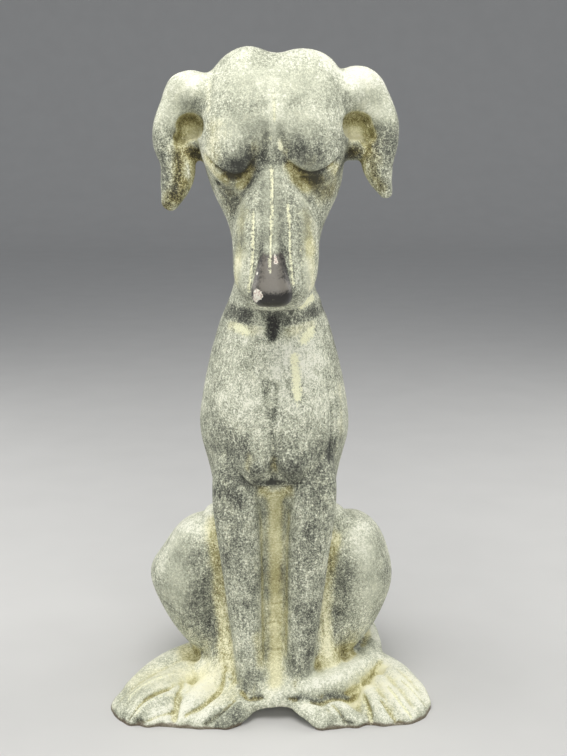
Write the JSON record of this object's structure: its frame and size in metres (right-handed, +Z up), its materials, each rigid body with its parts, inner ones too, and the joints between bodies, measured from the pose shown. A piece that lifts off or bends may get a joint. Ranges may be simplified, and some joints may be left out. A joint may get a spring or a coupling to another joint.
{
  "type": "dog statue",
  "caption": "Cast iron statue of a sitting hound with a bowed head, drooping ears, a collar and a tail round its haunch, standing on a flat underside.",
  "frame": {"origin": "middle of the underside's bounding rectangle, on the ground plane", "axes": "+Z up, -Y the way the dog faces, +X the dog's own left"},
  "size_m": [0.1858, 0.171, 0.37],
  "materials": {
    "patinated_iron": "dark cast iron with a worn, speckled pale grey-green and cream patina"
  },
  "bodies": {
    "root": {"cast_dog": "patinated_iron"}
  },
  "joints": []
}
